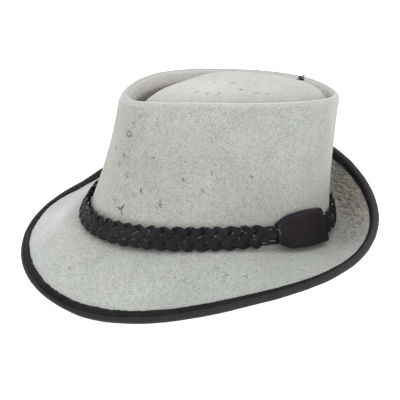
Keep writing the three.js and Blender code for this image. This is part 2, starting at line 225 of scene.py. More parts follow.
def brimLayers(a, steps):
    # middle, normal, edgeward direction and press of the brim's leather, for every step and angle
    here, before, after = brimSection(a), brimSection(a - slopeStep), brimSection(a + slopeStep)
    inFront = np.cos(a) > 0
    rows = []
    for s in steps:
        middle = sectionPoint(here, s)
        above, below = np.minimum(s + sectionStep, 1), np.maximum(s - sectionStep, -2)
        across = sectionPoint(here, above) - sectionPoint(here, below)
        beside = sectionPoint(after, s) - sectionPoint(before, s)
        normal = unit(np.cross(across, beside))
        outward = unit(middle - sectionPoint(here, s - 1.5 * sectionStep))
        # the leather is pressed flat where it would go below the surface that the hat lies on
        base = sectionPoint(here, np.maximum(s, 0))
        reach = np.where(inFront, 0, hatShape["suedeThickness"] / 2)
        under = ((base - normal * reach[:, None]) @ turn.T)[:, 2] - np.where(inFront, bindingReach, 0)
        fade = np.clip(1 + np.minimum(s, 0), 0, 1)
        press = fade * np.maximum(0, -(under + hatShape["restLift"]))
        rows.append((middle, normal, outward, press))
    return [np.array(part) for part in zip(*rows)]


noiseCells = 32
noiseSlopes = np.random.default_rng(11).normal(size=(noiseCells, noiseCells, noiseCells, 3))
noiseSlopes /= np.linalg.norm(noiseSlopes, axis=-1, keepdims=True)


def relief(points, size, seed=0.0):
    # smooth noise from about -1 to 1 at places in millimetres
    place = points / size + seed * 3.7
    cell = np.floor(place).astype(int)
    part = place - cell
    fade = part**3 * (part * (part * 6 - 15) + 10)
    total = np.zeros(points.shape[:-1])
    for corner in np.ndindex(2, 2, 2):
        at = np.mod(cell + corner, noiseCells)
        slope = noiseSlopes[at[..., 0], at[..., 1], at[..., 2]]
        weight = np.prod(np.where(corner, fade, 1 - fade), -1)
        total += weight * ((part - corner) * slope).sum(-1)
    return total * 1.5


def layered(points, waves):
    # relief of several sizes, from the height, size and seed of each
    return sum(height * relief(points, size, seed) for height, size, seed in waves)


def waver(middle):
    # the slow unevenness that the brim and its binding share
    return layered(middle, ((0.45, 38, 3.1), (0.2, 15, 7.7)))


def brimSurface(layers, offset, beyond=0.0):
    # points at an offset from the leather's middle, kept just above the floor
    middle, normal, outward, press = layers
    lift = (np.asarray(offset) + waver(middle))[..., None]
    placed = atRest(middle + normal * lift + outward * np.asarray(beyond)[..., None])
    placed[..., 2] = np.maximum(placed[..., 2] + press, hatShape["floorGap"])
    return placed


def evenAngles(count):
    return np.arange(count) * 2 * math.pi / count


def gridMesh(name, grid, poles=(), closeRows=False):
    # quads over rows of points in millimetres, with a fan to each pole
    rows, count = grid.shape[:2]
    points = grid.reshape(-1, 3)
    i = np.arange(rows if closeRows else rows - 1)[:, None]
    j = np.arange(count)[None]
    near, far, beside = i * count, ((i + 1) % rows) * count, (j + 1) % count
    faces = np.stack([near + j, near + beside, far + beside, far + j], -1).reshape(-1, 4).tolist()
    for pole, row, flip in zip(poles, (0, rows - 1), (False, True)):
        tip = len(points)
        points = np.vstack([points, pole])
        for k in range(count):
            pair = (row * count + k, row * count + (k + 1) % count)
            faces.append((tip, pair[0], pair[1]) if flip else (tip, pair[1], pair[0]))
    return meshFrom(name, points, faces)


def meshFrom(name, points, faces):
    mesh = bpy.data.meshes.new(name)
    mesh.from_pydata((points / 1000).tolist(), [], faces)
    mesh.polygons.foreach_set("use_smooth", [True] * len(faces))
    mesh.update()
    first, second, third = (np.array([points[face[k]] for face in faces]) for k in range(3))
    if (first * np.cross(second, third)).sum() < 0:
        mesh.flip_normals()
    return mesh


def outwardNormals(grid):
    down = np.gradient(grid, axis=0)
    around = np.roll(grid, -1, 1) - np.roll(grid, 1, 1)
    normals = unit(np.cross(around, down))
    outward = ((grid - grid.mean(1, keepdims=True)) * normals).sum() > 0
    return normals if outward else -normals


def turnedAngle(a):
    # the angle from -pi to pi, below zero on the far side
    return np.mod(a + math.pi, 2 * math.pi) - math.pi


def hill(x, centre, width):
    return np.exp(-(((x - centre) / width) ** 2))


def setField(mesh, name, values):
    # values for the first points, and 0 for the rest
    field = mesh.attributes.new(name, "FLOAT", "POINT")
    full = np.zeros(len(mesh.vertices), np.float32)
    full[: values.size] = values.ravel()
    field.data.foreach_set("value", full)


def addPiece(name, mesh, material, node=None):
    piece = bpy.data.objects.new(name, mesh)
    bpy.context.scene.collection.objects.link(piece)
    mesh.materials.append(material)
    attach(piece, "root")
    if node:
        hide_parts(node)


def smoothStep(low, high, x):
    t = np.clip((x - low) / (high - low), 0, 1)
    return t * t * (3 - 2 * t)


def plateau(x, low, full, ebb, end):
    # rises from low to full and falls from ebb to end
    return smoothStep(low, full, x) * (1 - smoothStep(ebb, end, x))


# Node helpers: a socket takes a value or another node's output
def build(tree, kind, sockets=None, **settings):
    made = tree.nodes.new(kind)
    for key, value in settings.items():
        setattr(made, key, value)
    for key, value in (sockets or {}).items():
        if isinstance(value, bpy.types.NodeSocket):
            tree.links.new(value, made.inputs[key])
        else:
            made.inputs[key].default_value = value
    return made


def calc(tree, operation, a, b=0.0):
    return build(tree, "ShaderNodeMath", {0: a, 1: b}, operation=operation).outputs[0]


def chain(tree, operation, values):
    total = values[0]
    for value in values[1:]:
        total = calc(tree, operation, total, value)
    return total


def times(tree, *values):
    return chain(tree, "MULTIPLY", values)


def plus(tree, *values):
    return chain(tree, "ADD", values)


def highest(tree, *values):
    return chain(tree, "MAXIMUM", values)


def vectorCalc(tree, operation, a, b):
    made = build(tree, "ShaderNodeVectorMath", {0: a, 1: b}, operation=operation)
    return made.outputs["Value" if operation in ("DOT_PRODUCT", "DISTANCE") else "Vector"]


def scaled(tree, vector, share):
    made = build(tree, "ShaderNodeVectorMath", {0: vector, "Scale": share}, operation="SCALE")
    return made.outputs["Vector"]


def noiseNode(tree, where, size, detail=2.0, rough=0.5, distortion=0.0):
    # size is the length of one wave in millimetres
    sockets = {"Vector": where, "Scale": 1000 / size, "Detail": detail, "Roughness": rough}
    return build(tree, "ShaderNodeTexNoise", {**sockets, "Distortion": distortion}).outputs


def noiseAt(tree, *settings):
    return noiseNode(tree, *settings)["Fac"]


def edgeGap(tree, where, size):
    # distance to the edge between cells about size millimetres wide
    sockets = {"Vector": where, "Scale": 1000 / size}
    return build(tree, "ShaderNodeTexVoronoi", sockets, feature="DISTANCE_TO_EDGE").outputs["Distance"]


def band(tree, value, low, high, toLow=0.0, toHigh=1.0):
    sockets = {"Value": value, "From Min": low, "From Max": high, "To Min": toLow, "To Max": toHigh}
    return build(tree, "ShaderNodeMapRange", sockets, interpolation_type="SMOOTHSTEP").outputs["Result"]


def mixColor(tree, share, a, b, blend="MIX"):
    made = build(tree, "ShaderNodeMix", data_type="RGBA", blend_type=blend)
    for index, value in ((0, share), (6, a), (7, b)):
        if isinstance(value, bpy.types.NodeSocket):
            tree.links.new(value, made.inputs[index])
        else:
            made.inputs[index].default_value = value if index == 0 else (*value, 1.0)
    return made.outputs[2]


def newMaterial(name):
    material = bpy.data.materials.new(name)
    material.use_nodes = True
    tree = material.node_tree
    shader = tree.nodes["Principled BSDF"]
    where = build(tree, "ShaderNodeTexCoord").outputs["Object"]
    return material, tree, shader, where


def fieldOf(tree, name):
    return build(tree, "ShaderNodeAttribute", attribute_name=name).outputs["Fac"]


def finishShader(tree, shader, color, height, strength, depth, constants):
    # depth is the bump's full depth in millimetres
    sockets = {"Height": height, "Strength": strength, "Distance": depth / 1000}
    relieved = build(tree, "ShaderNodeBump", sockets).outputs["Normal"]
    tree.links.new(color, shader.inputs["Base Color"])
    tree.links.new(relieved, shader.inputs["Normal"])
    for key, value in constants.items():
        shader.inputs[key].default_value = value


# Suede: short grey-green nap with fine dark pores, paler where it is brushed up
suedeLook = {
    "light": (0.462, 0.474, 0.438),
    "dark": (0.392, 0.406, 0.371),
    "coolPatch": (0.405, 0.44, 0.412),
    "warmPatch": (0.455, 0.432, 0.408),
    "pore": (0.15, 0.15, 0.136),
    # painted highlight on the raised pebble tops
    "high": (0.6, 0.605, 0.57),
    "paleTint": (0.575, 0.556, 0.548),
    # painted light, with some rubbed wear, along the crest, the moat's wall and the dome
    "rubLightTint": (0.72, 0.71, 0.7),
    # dirt on the brim; on the crown, painted shade at the moat's foot
    "dirtAndShadeTint": (0.6, 0.545, 0.465),
    # painted shade in creases, wrinkle valleys and the moat's foot
    "creaseShadeTint": (0.085, 0.075, 0.06),
    "markTint": (0.09, 0.085, 0.08),
    # sizes in millimetres
    "cloudSize": 60,
    "patchSize": 14,
    "hueSize": 32,
    "warpSize": 2.174,
    "warp": 2.1,
    "grainSize": 1.65,
    "bumpDepth": 0.7,
    # ranges of noise from none to all of a tint
    "toneRange": (0.34, 0.66),
    "coolRange": (0.44, 0.3),
    "warmRange": (0.56, 0.7),
    "speckRange": (0.43, 0.36),
    "flockRange": (0.44, 0.58),
    # strengths
    "patchShare": 0.26,
    "hueShare": 0.6,
    "paleShare": 0.88,
    "paleHush": 0.76,
    "rubLightShare": 0.62,
    "poreShare": 0.6,
    "pebbleHighlightShare": 0.35,
    "speckShare": 0.5,
    "markShare": 0.8,
    "markDent": 0.5,
    # painted shade in the wrinkle lines
    "wrinkleShadeShare": 0.62,
    "wrinkleDent": 1.2,
    "napBump": 0.5,
}
pebbleLook = {
    "fineCells": 1.75,             # to one large cell
    "grainSize": 1.9,
    "poreRange": (0.14, 0.03),
    "finePoreRange": (0.12, 0.02),
    "finePoreShare": 0.7,
    "pitRange": (0.36, 0.3),
    "pitShare": 0.7,
    "raisedRange": (0.2, 0.42),
    "domeRange": (0.0, 0.34),
    "domeShare": 0.6,
}
suedeConstants = {
    "Roughness": 0.95,
    "Specular IOR Level": 0.15,
    "Sheen Weight": 0.2,
    "Sheen Roughness": 0.4,
    "Sheen Tint": (0.93, 0.94, 0.91, 1),
}

# Healed marks in the hide: place in millimetres, direction outward, size, arms, strength
crownMarks = [
    ((38.2, -64.9, 53.6), (0.56, -0.73, 0.38), 6.0, 3, 1.0),
    ((56.8, -36.5, 63.2), (0.79, -0.48, 0.37), 4.6, 5, 0.8),
    ((44.8, -48.7, 70.4), (0.72, -0.58, 0.38), 3.4, 2, 1.0),
    ((41.9, -54.1, 66.6), (0.67, -0.64, 0.39), 3.0, 4, 0.7),
    ((32.3, -57.2, 78.2), (0.61, -0.73, 0.32), 3.2, 5, 1.0),
    ((58.0, -17.9, 82.6), (0.90, -0.31, 0.29), 2.8, 4, 0.8),
    ((65.4, 33.5, 81.1), (0.97, 0.06, 0.24), 2.4, 3, 1.0),
    ((25.0, -47.3, 118.5), (0.58, -0.77, 0.26), 3.2, 3, 0.8),
    ((23.9, -57.1, 92.8), (0.53, -0.78, 0.33), 3.4, 5, 0.85),
    ((22.1, -61.6, 84.7), (0.41, -0.85, 0.33), 3.2, 4, 0.7),
    ((13.0, -61.9, 94.3), (0.26, -0.91, 0.33), 2.8, 4, 0.7),
    ((42.6, -37.2, 96.4), (0.78, -0.54, 0.32), 2.4, 2, 0.9),
    ((62.4, 3.5, 87.6), (0.94, -0.20, 0.29), 2.2, 2, 0.8),
    ((64.6, -4.4, 74.6), (0.92, -0.22, 0.33), 3.6, 6, 0.55),
    ((30.4, -68.3, 58.0), (0.48, -0.78, 0.39), 5.0, 7, 0.45),
    ((13.3, 4.5, 132.9), (0.28, -0.07, 0.96), 3.2, 4, 0.6),
    ((16.3, 39.1, 131.4), (0.03, 0.07, 1.00), 3.4, 5, 0.7),
    ((22.9, 49.3, 129.8), (0.15, 0.09, 0.98), 3.4, 2, 0.75),
    ((24.2, 57.4, 128.9), (0.13, 0.10, 0.99), 3.4, 4, 0.65),
    ((19.2, 20.5, 131.6), (0.28, -0.03, 0.96), 3.0, 5, 0.5),
    ((17.3, 11.5, 132.0), (0.30, -0.05, 0.95), 3.2, 3, 0.5),
    ((-0.4, 22.0, 133.0), (-0.03, 0.06, 1.00), 4.0, 2, 0.4),
    ((1.4, 34.6, 132.2), (0.04, 0.06, 1.00), 3.4, 3, 0.4),
]
brimMarks = [
    ((103.0, -3.3, 30.2), (0.14, -0.05, 0.99), 4.4, 4, 0.5),
    ((111.7, 0.6, 29.2), (0.14, -0.05, 0.99), 4.4, 3, 0.5),
    ((116.7, 14.3, 29.2), (-0.02, 0.02, 1.00), 4.0, 3, 0.6),
    ((54.0, -110.2, 16.8), (0.26, -0.41, 0.87), 4.4, 6, 0.6),
    ((39.9, -99.0, 23.3), (0.09, -0.22, 0.97), 3.6, 5, 0.55),
    ((63.6, 117.2, 11.1), (-0.33, -0.38, 0.86), 2.4, 3, 0.8),
    ((62.0, 107.6, 7.0), (-0.25, -0.16, 0.96), 2.6, 4, 0.6),
]
ringMark = {"middle": (23.1, -51.7, 109.5), "size": 2.6, "hollow": True}
dotMark = {"middle": (36.2, 116.7, 2.2), "size": 1.5, "hollow": False}
markLook = {
    "spin": 0.9,               # radians from one mark to the next
    "ragSize": 1.613,          # millimetres
    "shake": 0.003,            # metres
    "armWidth": (0.3, 0.1),
    "armLength": (1.0, 0.55),
    "core": (0.34, 0.16),
    "darkness": 1.15,
}
wrinkleLook = {
    "run": (0.976, 0.095, 0.193),
    "lineStretch": 0.87,
    "lines": ((5.0, 0.04), (3.1, 0.04), (2.0, 0.045)),     # size in millimetres and width
}


def markAxes(outward, size, spin):
    n = Vector(outward).normalized()
    side = n.cross(Vector((0, 0, 1))).normalized()
    if side.length < 0.5:
        side = Vector((1, 0, 0))
    rise = n.cross(side)
    u = side * math.cos(spin) + rise * math.sin(spin)
    v = rise * math.cos(spin) - side * math.sin(spin)
    return u * (1000 / size), v * (1000 / size)


def markGroup():
    # darkness of a star-shaped mark with ragged arms, from 0 to 1
    group = bpy.data.node_groups.new("hideMark", "ShaderNodeTree")
    for name in ("Vector", "Middle", "Across", "Rise", "Arms", "Strength"):
        kind = "NodeSocketFloat" if name in ("Arms", "Strength") else "NodeSocketVector"
        group.interface.new_socket(name, in_out="INPUT", socket_type=kind)
    group.interface.new_socket("Mark", in_out="OUTPUT", socket_type="NodeSocketFloat")
    enter = group.nodes.new("NodeGroupInput").outputs
    leave = group.nodes.new("NodeGroupOutput").inputs
    rag = noiseNode(group, enter["Vector"], markLook["ragSize"])
    shake = scaled(group, vectorCalc(group, "SUBTRACT", rag["Color"], (0.5, 0.5, 0.5)), markLook["shake"])
    away = vectorCalc(group, "SUBTRACT", enter["Vector"], enter["Middle"])
    moved = vectorCalc(group, "ADD", away, shake)
    x = vectorCalc(group, "DOT_PRODUCT", moved, enter["Across"])
    y = vectorCalc(group, "DOT_PRODUCT", moved, enter["Rise"])
    far = calc(group, "SQRT", plus(group, times(group, x, x), times(group, y, y)))
    spin = times(group, calc(group, "ARCTAN2", y, x), enter["Arms"], 0.5)
    slim = times(group, calc(group, "ABSOLUTE", calc(group, "SINE", spin)), far)
    arm = times(group, band(group, slim, *markLook["armWidth"]), band(group, far, *markLook["armLength"]))
    shape = highest(group, arm, band(group, far, *markLook["core"]))
    broken = band(group, rag["Fac"], 0.36, 0.5, 0.35, 1.0)
    star = times(group, shape, enter["Strength"], broken, markLook["darkness"])
    group.links.new(star, leave["Mark"])
    return group


def spotShade(tree, where, spot, grain):
    # a dark dot, or a ring where the spot is hollow
    size = spot["size"] / 1000
    gap = vectorCalc(tree, "DISTANCE", where, Vector(spot["middle"]) / 1000)
    gap = plus(tree, gap, times(tree, calc(tree, "SUBTRACT", grain, 0.5), 0.002))
    if spot["hollow"]:
        inner, outer = band(tree, gap, size / 2.4, size / 1.5), band(tree, gap, size / 0.85, size / 1.2)
        return times(tree, inner, outer)
    return band(tree, gap, size, size / 1.6)


def hideMarks(tree, where, marks, spot, grain):
    group = bpy.data.node_groups.get("hideMark") or markGroup()
    shades = []
    for index, (middle, outward, size, arms, strength) in enumerate(marks):
        across, rise = markAxes(outward, size, markLook["spin"] * index)
        sockets = {"Vector": where, "Middle": Vector(middle) / 1000, "Across": across, "Rise": rise}
        sockets.update({"Arms": arms, "Strength": strength})
        shades.append(build(tree, "ShaderNodeGroup", sockets, node_tree=group).outputs["Mark"])
    return highest(tree, *shades, spotShade(tree, where, spot, grain))


def wrinkleLines(tree, where):
    # lines along folds that run outward and down behind the crown, where painted shade darkens the valleys
    run = wrinkleLook["run"]
    reach = vectorCalc(tree, "DOT_PRODUCT", where, run)
    push = scaled(tree, run, times(tree, reach, -wrinkleLook["lineStretch"]))
    flat = vectorCalc(tree, "ADD", where, push)
    lines = []
    for size, width in wrinkleLook["lines"]:
        wave = noiseAt(tree, flat, size, 1, 0.5, 0.2)
        gap = calc(tree, "ABSOLUTE", calc(tree, "SUBTRACT", wave, 0.5))
        lines.append(band(tree, gap, width, width * 0.15))
    broken = band(tree, noiseAt(tree, where, 7, 2, 0.5), 0.35, 0.55, 0.25, 1.0)
    return times(tree, highest(tree, *lines), broken)


def suedeTone(tree, look, where, patch):
    # clouded nap with cool and warm places
    cloud = noiseAt(tree, where, look["cloudSize"], 4, 0.55)
    share = look["patchShare"]
    tone = plus(tree, times(tree, cloud, 1 - share), times(tree, patch, share))
    color = mixColor(tree, band(tree, tone, *look["toneRange"]), look["dark"], look["light"])
    hue = noiseAt(tree, vectorCalc(tree, "ADD", where, (0.7, 0.2, 0.4)), look["hueSize"], 3, 0.5)
    for name in ("cool", "warm"):
        share = band(tree, hue, *look[name + "Range"], 0.0, look["hueShare"])
        color = mixColor(tree, share, color, look[name + "Patch"])
    return color


def pebbles(tree, where):
    # low domes between fine dark pores: gap to the nearest pore, grain and darkness of the pores
    look, size = pebbleLook, suedeLook["grainSize"]
    warp = noiseNode(tree, where, suedeLook["warpSize"])["Color"]
    bent = vectorCalc(tree, "ADD", where, scaled(tree, warp, suedeLook["warp"] / 1000))
    cells, fineCells = edgeGap(tree, bent, size), edgeGap(tree, bent, size / look["fineCells"])
    grain = noiseAt(tree, where, look["grainSize"], 3, 0.6, 0.4)
    broken = band(tree, noiseAt(tree, where, 3.3, 2, 0.5), 0.4, 0.56, 0.55, 1.0)
    net = times(tree, band(tree, cells, *look["poreRange"]), broken)
    fineNet = times(tree, band(tree, fineCells, *look["finePoreRange"]), band(tree, grain, 0.52, 0.42))
    fineNet = times(tree, fineNet, look["finePoreShare"])
    pits = band(tree, grain, *look["pitRange"], 0.0, look["pitShare"])
    density = band(tree, noiseAt(tree, where, 11, 3, 0.6), 0.36, 0.62, 0.8, 1.0)
    return cells, grain, times(tree, highest(tree, net, fineNet, pits), density)


def suedeMaterial(name, marks, spot, seed=0.0, tint=(1, 1, 1), wrinkled=False):
    material, tree, shader, where = newMaterial(name)
    look = suedeLook
    shift = vectorCalc(tree, "ADD", where, (seed, seed, seed))
    fields = ("pale", "dirtAndShade", "creaseShade", "rubAndLight", "sheenCalm")
    pale, dirtAndShade, creaseShade, rubAndLight, sheenCalm = (fieldOf(tree, field) for field in fields)

    # nap, brushed pale and tinted (on the brim the tint is painted light), rubbed wear with painted light,
    # and dirt with painted shade
    patch = noiseAt(tree, shift, look["patchSize"], 3, 0.6)
    color = suedeTone(tree, look, shift, patch)
    color = mixColor(tree, times(tree, pale, look["paleShare"]), color, look["paleTint"])
    color = mixColor(tree, 1.0, color, tint, blend="MULTIPLY")
    color = mixColor(tree, times(tree, rubAndLight, look["rubLightShare"]), color, look["rubLightTint"])
    dirtAndShadeMix = times(tree, dirtAndShade, band(tree, patch, 0.3, 0.65, 0.7, 1.0))
    color = mixColor(tree, dirtAndShadeMix, color, look["dirtAndShadeTint"])

    # grain, fainter where the nap is pale, under the rubbed wear and painted light, and where the painted
    # sheen calms it
    cells, grain, pores = pebbles(tree, shift)
    quiet = highest(tree, times(tree, pale, look["paleHush"]), rubAndLight, sheenCalm)
    hushed = calc(tree, "SUBTRACT", 1.0, quiet)
    color = mixColor(tree, times(tree, pores, look["poreShare"], hushed), color, look["pore"])
    # painted highlight: the raised pebble centres are lighter, as if lit from above
    raised = band(tree, cells, *pebbleLook["raisedRange"])
    raised = times(tree, raised, band(tree, grain, 0.46, 0.6), hushed)
    color = mixColor(tree, times(tree, raised, look["pebbleHighlightShare"]), color, look["high"])

    # scattered dark specks where the nap is brushed pale
    speck = band(tree, noiseAt(tree, shift, 2.6, 3, 0.75, 0.8), *look["speckRange"])
    flock = band(tree, noiseAt(tree, shift, 13, 3, 0.6), *look["flockRange"])
    color = mixColor(tree, times(tree, speck, flock, pale, look["speckShare"]), color, look["pore"])

    # marks, then painted shade in the wrinkle lines and the creases; the wrinkle lines also dent the bump
    shade = hideMarks(tree, where, marks, spot, grain)
    color = mixColor(tree, times(tree, shade, look["markShare"]), color, look["markTint"])
    dents = times(tree, shade, look["markDent"])
    if wrinkled:
        lines = times(tree, wrinkleLines(tree, where), fieldOf(tree, "wrinkle"))
        color = mixColor(tree, times(tree, lines, look["wrinkleShadeShare"]), color, look["creaseShadeTint"])
        dents = plus(tree, dents, times(tree, lines, look["wrinkleDent"]))
    deep = times(tree, creaseShade, band(tree, grain, 0.3, 0.6, 1.0, 0.7))
    color = mixColor(tree, deep, color, look["creaseShadeTint"])

    domes = band(tree, cells, *pebbleLook["domeRange"], 0.0, pebbleLook["domeShare"])
    domes = times(tree, domes, hushed)
    fine = noiseAt(tree, shift, 0.8, 2, 0.6)
    height = plus(tree, times(tree, grain, 0.4), domes, times(tree, fine, 0.2))
    height = calc(tree, "SUBTRACT", height, dents)
    finishShader(tree, shader, color, height, look["napBump"], look["bumpDepth"], suedeConstants)
    return material


# Leather: dark and smooth, with worn edges and polished places that are glossier and carry a painted
# highlight
leatherWear = {
    "cloudSize": 17,           # sizes in millimetres
    "scuffSize": 3.2,
    "wornSize": 4.5,
    "bumpDepth": 0.4,
    # painted highlight on the polished round of the bead
    "polishHighlightTint": (0.115, 0.104, 0.112),
    "polishHighlightShare": 0.75,
    "polishShine": 0.16,
}
leatherLooks = {
    "binding": {
        "dark": (0.006, 0.005, 0.006), "light": (0.014, 0.012, 0.014), "worn": (0.16, 0.15, 0.15),
        "grain": 0.9, "rough": (0.56, 0.74), "bump": 0.3, "shine": 0.16,
    },
    "lace": {
        "dark": (0.0035, 0.003, 0.004), "light": (0.0115, 0.01, 0.0122), "worn": (0.34, 0.34, 0.35),
        "grain": 0.8, "rough": (0.5, 0.72), "bump": 0.3, "shine": 0.22,
    },
    "thread": {
        "dark": (0.17, 0.16, 0.16), "light": (0.3, 0.285, 0.285), "worn": (0.3, 0.3, 0.3),
        "grain": 0.5, "rough": (0.7, 0.8), "bump": 0.2, "shine": 0.2,
    },
    "stitch": {
        "dark": (0.022, 0.02, 0.022), "light": (0.075, 0.07, 0.072), "worn": (0.1, 0.1, 0.1),
        "grain": 0.5, "rough": (0.7, 0.8), "bump": 0.2, "shine": 0.2,
    },
    "keeper": {
        "dark": (0.0105, 0.0075, 0.0105), "light": (0.019, 0.0145, 0.0195), "worn": (0.12, 0.11, 0.12),
        "grain": 0.7, "rough": (0.52, 0.66), "bump": 0.16, "shine": 0.18,
    },
}


def leatherMaterial(name, look):
    material, tree, shader, where = newMaterial(name)
    wear = leatherWear
    worn, polishHighlight = fieldOf(tree, "worn"), fieldOf(tree, "polishHighlight")
    cloud = noiseAt(tree, where, wear["cloudSize"], 4, 0.6)
    scuff = noiseAt(tree, where, wear["scuffSize"], 5, 0.7, 1.5)
    grain = noiseAt(tree, where, look["grain"], 3, 0.6, 0.4)
    tone = plus(tree, times(tree, cloud, 0.55), times(tree, scuff, 0.45))
    color = mixColor(tree, band(tree, tone, 0.38, 0.66), look["dark"], look["light"])
    ragged = band(tree, noiseAt(tree, where, wear["wornSize"], 3, 0.6, 0.8), 0.54, 0.6)
    color = mixColor(tree, times(tree, worn, ragged), color, look["worn"])
    color = mixColor(tree, times(tree, polishHighlight, wear["polishHighlightShare"]), color, wear["polishHighlightTint"])
    uneven = plus(tree, times(tree, scuff, 0.5), times(tree, grain, 0.5))
    rough = band(tree, uneven, 0.3, 0.7, *look["rough"])
    rough = calc(tree, "SUBTRACT", rough, times(tree, polishHighlight, wear["polishShine"]))
    tree.links.new(rough, shader.inputs["Roughness"])
    creases = band(tree, edgeGap(tree, where, look["grain"] / 1.3), 0.0, 0.12, 0.0, 0.4)
    height = plus(tree, times(tree, grain, 0.5), creases, times(tree, scuff, 0.3))
    constants = {"Specular IOR Level": look["shine"]}
    finishShader(tree, shader, color, height, look["bump"], wear["bumpDepth"], constants)
    return material


# the brim's copy of the suede is made brighter than the crown's: painted light
crownTint = (0.955, 0.955, 0.95)
brimLitTint = (1.06, 1.075, 1.1)
crownSuede = suedeMaterial("crownSuede", crownMarks, ringMark, tint=crownTint)
brimSuede = suedeMaterial("brimSuede", brimMarks, dotMark, seed=0.37, tint=brimLitTint, wrinkled=True)
bindingLeather = leatherMaterial("bindingLeather", leatherLooks["binding"])
laceLeather = leatherMaterial("laceLeather", leatherLooks["lace"])
stitchThread = leatherMaterial("stitchThread", leatherLooks["stitch"])
keeperLeather = leatherMaterial("keeperLeather", leatherLooks["keeper"])
print("trilby: materials ready")


# Crown: wall, rounded ridge, moat and dome in one suede
crownLook = {
    "around": 380,
    "wallRows": 96,
    "domeRows": 56,
    "undersideStep": 3,
    "unevenness": ((0.32, 27, 0.0), (0.12, 8, 5.0), (0.05, 3.2, 9.0)),
    "undersideGrime": 0.25,
    # where painted sheen calms the grain at the narrow ends, in degrees
    "sheenCalmBack": (138, 154, 160, 176),
    "sheenCalmBackShare": 0.8,
    "sheenCalmFront": (-14, 0, 8, 26),
    "sheenCalmFrontShare": 0.7,
}


def crownOuter(a):
    # rows from the hem to the middle of the dome, with the number of each part's first row
    rows, starts = [], {}
    ridge, rim, small = along["ridge"](a), along["rim"](a), hatShape["innerRidgeRadius"]
    shoulder, hem = 1 - wallShare(a, ridge), wallShare(a, hatShape["hemHeight"])
    for share in np.linspace(0, 1, crownLook["wallRows"]):
        rows.append(wallPoint(a, hem + (shoulder - hem) * share))
    starts["ridge"] = len(rows)
    for angle in np.radians(np.linspace(8, 90, 11)):
        rows.append(topPoint(a, ridge * (1 - math.cos(angle)), rim - ridge * (1 - math.sin(angle))))
    starts["crest"] = len(rows) - 1
    for angle in np.radians(np.linspace(12, 72, 6)):
        rows.append(topPoint(a, ridge + small * math.sin(angle), rim - small * (1 - math.cos(angle))))
    # the moat's wall goes on from the last of these rows
    lip, drop = ridge + small * math.sin(angle), small * (1 - math.cos(angle))
    inset, depth = along["moatInset"](a), along["moatDepth"](a)
    for t in np.linspace(0.06, 0.94, 15):
        across = bezier([lip, np.minimum(lip + 1.6, inset - 0.2), inset], t)
        down = bezier([drop, depth * 0.6, depth], t)
        rows.append(topPoint(a, across, rim - down))
    starts["dome"] = len(rows)
    for k in np.linspace(0, 1, crownLook["domeRows"]) ** 1.5:
        rows.append(domePoint(a, np.full_like(a, 1 - 0.97 * k)))
    return np.array(rows), starts


def crownFields(a, outer, starts):
    ridge, crest, dome = starts["ridge"], starts["crest"], starts["dome"]
    row = np.arange(len(outer))[:, None] + 0 * a[None]
    around = a[None] + 0 * row
    near = smoothStep(-0.15, 0.75, np.sin(around))
    back = (1 - np.cos(around)) / 2
    reach = np.clip((row - dome) / (len(outer) - dome), 0, 1)
    depth = (outer[crest, :, 2][None] - outer[..., 2]) * (row > crest)
    depth = depth * (1 - smoothStep(0.05, 0.2, reach))
    inside = smoothStep(crest, crest + 6, row) * (row < dome)
    shaded = near * (1 - smoothStep(0.3, 0.75, reach)) * (row >= dome)

    # painted sheen on the wall's narrow ends: calmer grain and a little paler, as grazing sheen would wash
    # it out
    degrees = np.degrees(turnedAngle(around))
    backEnd = crownLook["sheenCalmBackShare"] * plateau(degrees, *crownLook["sheenCalmBack"])
    frontEnd = crownLook["sheenCalmFrontShare"] * plateau(degrees, *crownLook["sheenCalmFront"])
    uneasy = 0.85 + 0.5 * relief(outer, 22, 6.5)
    sheenCalm = np.clip((backEnd + frontEnd) * uneasy, 0, 1) * (row < crest)

    # painted shade at the foot of the moat: a warm tint and less paleness where it is deep, and a darker
    # crease shade deeper still
    dirtAndShade = (0.24 - 0.12 * back) * smoothStep(5 + 2 * back, 12 - 3 * back, depth)
    creaseShade = 0.94 * smoothStep(8.4 - 1.6 * back, 14 - 4.2 * back, depth)

    # pale where hands brush it: the ridge, the moat's wall and the dome; painted shade on the dome's near
    # side keeps it less pale and adds a little crease shade
    edge = smoothStep(ridge - 3, ridge + 3, row) * (row <= crest) * (0.7 - 0.35 * near)
    mottled = 0.92 + 0.22 * relief(outer, 16, 2.5)
    top = smoothStep(0.0, 0.1, reach) * (1 - 0.35 * shaded) * mottled
    pale = edge + (0.85 + 0.1 * back) * inside + top + 0.12 * sheenCalm

    # rubbed wear and painted light: bright along the near crest, high on the moat's far wall fading with
    # depth, and on the front of the dome, less on its shaded near side
    rubAndLight = hill(row, crest - 1.2, 1.7) * smoothStep(-0.1, 0.5, np.sin(around))
    rubAndLight = rubAndLight + 0.6 * inside * (1 - smoothStep(3, 12, depth)) * (1 - near)
    rubAndLight = rubAndLight + 0.42 * (1 - back) ** 2 * smoothStep(0.05, 0.3, reach) * (1 - 0.6 * shaded)
    fields = {"pale": np.clip(pale * (1 - dirtAndShade), 0, 1), "creaseShade": np.maximum(creaseShade, 0.12 * shaded)}
    return {**fields, "dirtAndShade": dirtAndShade, "sheenCalm": sheenCalm, "rubAndLight": rubAndLight}


